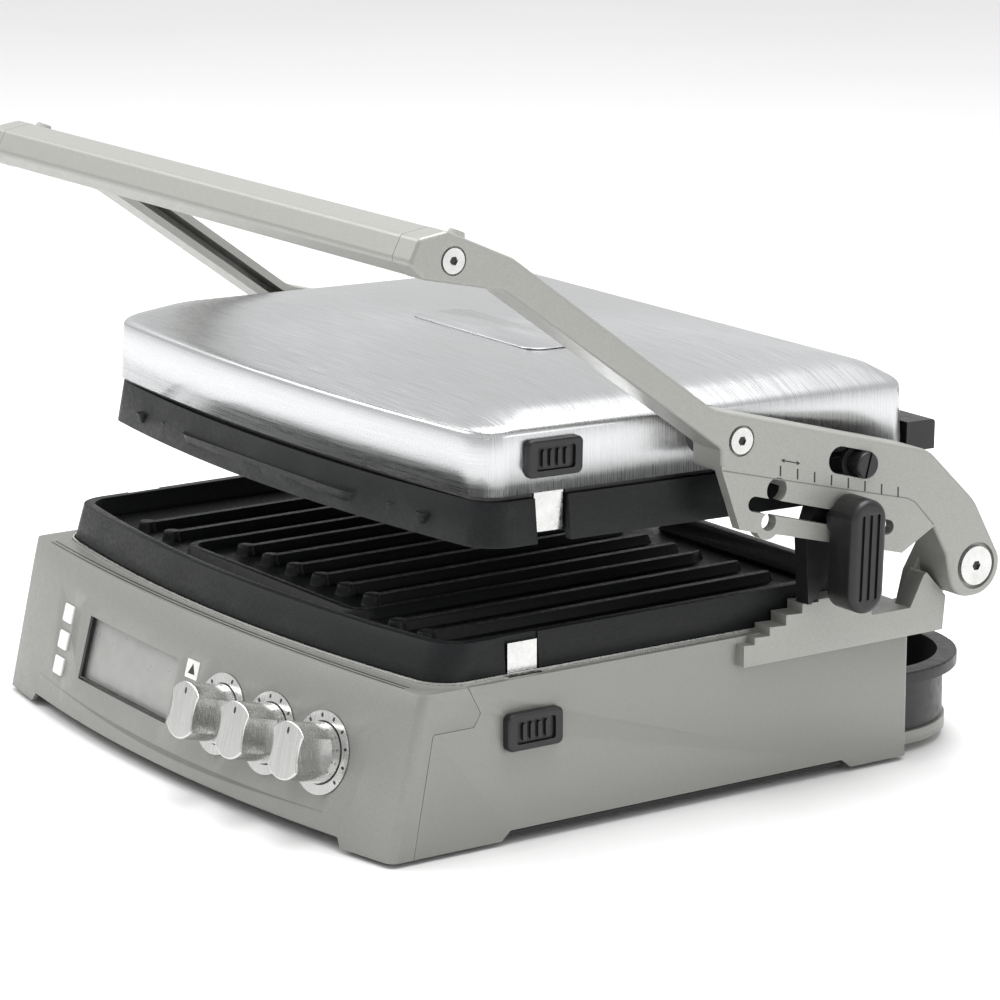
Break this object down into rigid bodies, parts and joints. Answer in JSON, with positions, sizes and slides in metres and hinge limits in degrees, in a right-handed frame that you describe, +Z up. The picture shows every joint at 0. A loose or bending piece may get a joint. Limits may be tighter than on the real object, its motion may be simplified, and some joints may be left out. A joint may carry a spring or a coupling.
{
  "type": "panini press",
  "caption": "Contact grill and panini press: floating lid on cranked arms with a bar handle, ribbed plates, leaning control panel with knobs and display, height lever and rear drip tray.",
  "frame": {"origin": "centre of the bounding box's footprint, on the surface the feet stand on", "axes": "+X to the machine's right across its width, +Y from the control panel to the hinges, +Z up"},
  "size_m": [0.4215, 0.4037, 0.2979],
  "materials": {
    "silver_paint": "satin warm silver-grey metallic paint with a fine speckle",
    "painted_casting": "die-cast metal in the same satin silver-grey paint",
    "lid_steel": "brushed stainless steel",
    "nonstick": "matte black non-stick coating on die-cast aluminium",
    "black_plastic": "fine-grained black moulded plastic",
    "rubber": "matte grey-black rubber",
    "grey_rubber": "matte light grey rubber",
    "display": "glossy grey display window",
    "bright_steel": "bright plated steel",
    "reflector": "bright pressed aluminium",
    "element_steel": "heat-tinted steel sheath",
    "knob_metal": "brushed and polished metal",
    "white_plastic": "white moulded plastic",
    "circuit_board": "green board lacquer"
  },
  "bodies": {
    "root": {"base_housing": "silver_paint", "front_panel": "silver_paint", "bottom_cover": "black_plastic", "rubber_feet": "rubber", "bottom_screws": "bright_steel", "right_bracket": "painted_casting", "left_bracket": "painted_casting", "bracket_screws": "bright_steel", "display_lens": "display", "display_module": "black_plastic", "control_board": "circuit_board", "power_board": "circuit_board", "dial_plates": "knob_metal", "dial_switches": "black_plastic", "indicator_lens": "white_plastic", "lower_reflector": "reflector", "lower_element": "element_steel", "lower_plate": "nonstick", "lower_thermostat": "element_steel", "lower_release_bezel": "black_plastic", "lower_clip_pin": "bright_steel", "lower_hook": "bright_steel", "cord_gland": "black_plastic"},
    "hinge_bolts": {"hinge_bolts": "bright_steel"},
    "arms": {"right_arm": "painted_casting", "left_arm": "painted_casting", "handle_bar": "painted_casting", "handle_plugs": "black_plastic", "handle_screws": "bright_steel", "handle_nubs": "grey_rubber"},
    "float_pivots": {"float_bolts": "bright_steel"},
    "lid": {"lid_cover": "lid_steel", "lid_frame": "black_plastic", "lid_badge": "lid_steel", "lid_wire_box": "black_plastic", "upper_plate": "nonstick", "upper_reflector": "reflector", "upper_element": "element_steel", "upper_thermostat": "element_steel", "upper_release_bezel": "black_plastic", "upper_hook": "bright_steel", "upper_clip_pin": "bright_steel"},
    "lever": {"lever_knob": "black_plastic", "lever_pawl": "black_plastic"},
    "float_lock": {"float_lock": "black_plastic"},
    "function_knob": {"function_knob": "knob_metal"},
    "lower_knob": {"lower_knob": "knob_metal"},
    "upper_knob": {"upper_knob": "knob_metal"},
    "start_button": {"start_button": "white_plastic"},
    "upper_sear_button": {"upper_sear_button": "white_plastic"},
    "lower_sear_button": {"lower_sear_button": "white_plastic"},
    "lower_release_button": {"lower_release_button": "black_plastic"},
    "lower_clip": {"lower_clip": "bright_steel"},
    "upper_release_button": {"upper_release_button": "black_plastic"},
    "upper_clip": {"upper_clip": "bright_steel"},
    "drip_tray": {"drip_tray": "black_plastic"}
  },
  "joints": [
    {"name": "height_set", "type": "hinge", "parent": "root", "child": "hinge_bolts", "pos_m": [-0.0105, 0.16414, 0.0993], "axis": [1, 0, 0], "range_deg": [-8, 14.3]},
    {"name": "lid_open", "type": "hinge", "parent": "hinge_bolts", "child": "arms", "pos_m": [-0.0105, 0.16414, 0.0993], "axis": [-1, 0, 0], "range_deg": [0, 162.6]},
    {"name": "float_level", "type": "hinge", "parent": "arms", "child": "float_pivots", "pos_m": [-0.0105, 0.01694, 0.1813], "axis": [1, 0, 0], "range_deg": [-13.2, 7.5]},
    {"name": "float_open", "type": "hinge", "parent": "float_pivots", "child": "lid", "pos_m": [-0.0105, 0.01694, 0.1813], "axis": [-1, 0, 0], "range_deg": [0, 16.3]},
    {"name": "lever_slide", "type": "slide", "parent": "arms", "child": "lever", "axis": [0, -0.9635, 0.2679], "range_m": [-0.0294, 0.0522]},
    {"name": "float_lock_slide", "type": "slide", "parent": "arms", "child": "float_lock", "axis": [0, 0.9635, -0.2679], "range_m": [-0.0147, 0.0015]},
    {"name": "tray_slide", "type": "slide", "parent": "root", "child": "drip_tray", "axis": [0, -1, 0], "range_m": [-0.06, 0]},
    {"name": "function_knob_turn", "type": "hinge", "parent": "root", "child": "function_knob", "pos_m": [0.0315, -0.17654, 0.0415], "axis": [0.0368, -0.9643, 0.2624], "range_deg": [-60, 60]},
    {"name": "lower_knob_turn", "type": "hinge", "parent": "root", "child": "lower_knob", "pos_m": [0.0725, -0.17421, 0.0415], "axis": [0.0727, -0.9643, 0.2548], "range_deg": [-150, 150]},
    {"name": "upper_knob_turn", "type": "hinge", "parent": "root", "child": "upper_knob", "pos_m": [0.1135, -0.17036, 0.0415], "axis": [0.1086, -0.9641, 0.2422], "range_deg": [-150, 150]},
    {"name": "start_button_press", "type": "slide", "parent": "root", "child": "start_button", "axis": [0.1032, 0.9646, -0.2428], "range_m": [0, 0.0008], "stiffness_N_per_m": 900, "springref_m": -0.0004},
    {"name": "upper_sear_button_press", "type": "slide", "parent": "root", "child": "upper_sear_button", "axis": [0.1081, 0.9641, -0.2426], "range_m": [0, 0.0008], "stiffness_N_per_m": 900, "springref_m": -0.0004},
    {"name": "lower_sear_button_press", "type": "slide", "parent": "root", "child": "lower_sear_button", "axis": [0.1127, 0.9636, -0.2425], "range_m": [0, 0.0008], "stiffness_N_per_m": 900, "springref_m": -0.0004},
    {"name": "lower_release_press", "type": "slide", "parent": "root", "child": "lower_release_button", "axis": [-1, 0, 0], "range_m": [0, 0.002], "stiffness_N_per_m": 900, "springref_m": -0.001},
    {"name": "lower_clip_turn", "type": "hinge", "parent": "root", "child": "lower_clip", "pos_m": [0.168, -0.09256, 0.0735], "axis": [0, 1, 0], "range_deg": [0, 7]},
    {"name": "upper_release_press", "type": "slide", "parent": "lid", "child": "upper_release_button", "axis": [-1, 0, 0], "range_m": [0, 0.002], "stiffness_N_per_m": 900, "springref_m": -0.001},
    {"name": "upper_clip_turn", "type": "hinge", "parent": "lid", "child": "upper_clip", "pos_m": [0.1562, -0.07285, 0.16838], "axis": [0, -0.9998, 0.0209], "range_deg": [0, 6.1]}
  ],
  "couplings": [
    {"joint": "float_level", "follows": "height_set", "ratio": -0.9161},
    {"joint": "float_open", "follows": "lid_open", "ratio": 0.0996},
    {"joint": "lever_slide", "follows": "height_set", "m_per_rad": 0.2083},
    {"joint": "lower_clip_turn", "follows": "lower_release_press", "rad_per_m": 60},
    {"joint": "upper_clip_turn", "follows": "upper_release_press", "rad_per_m": 52}
  ]
}
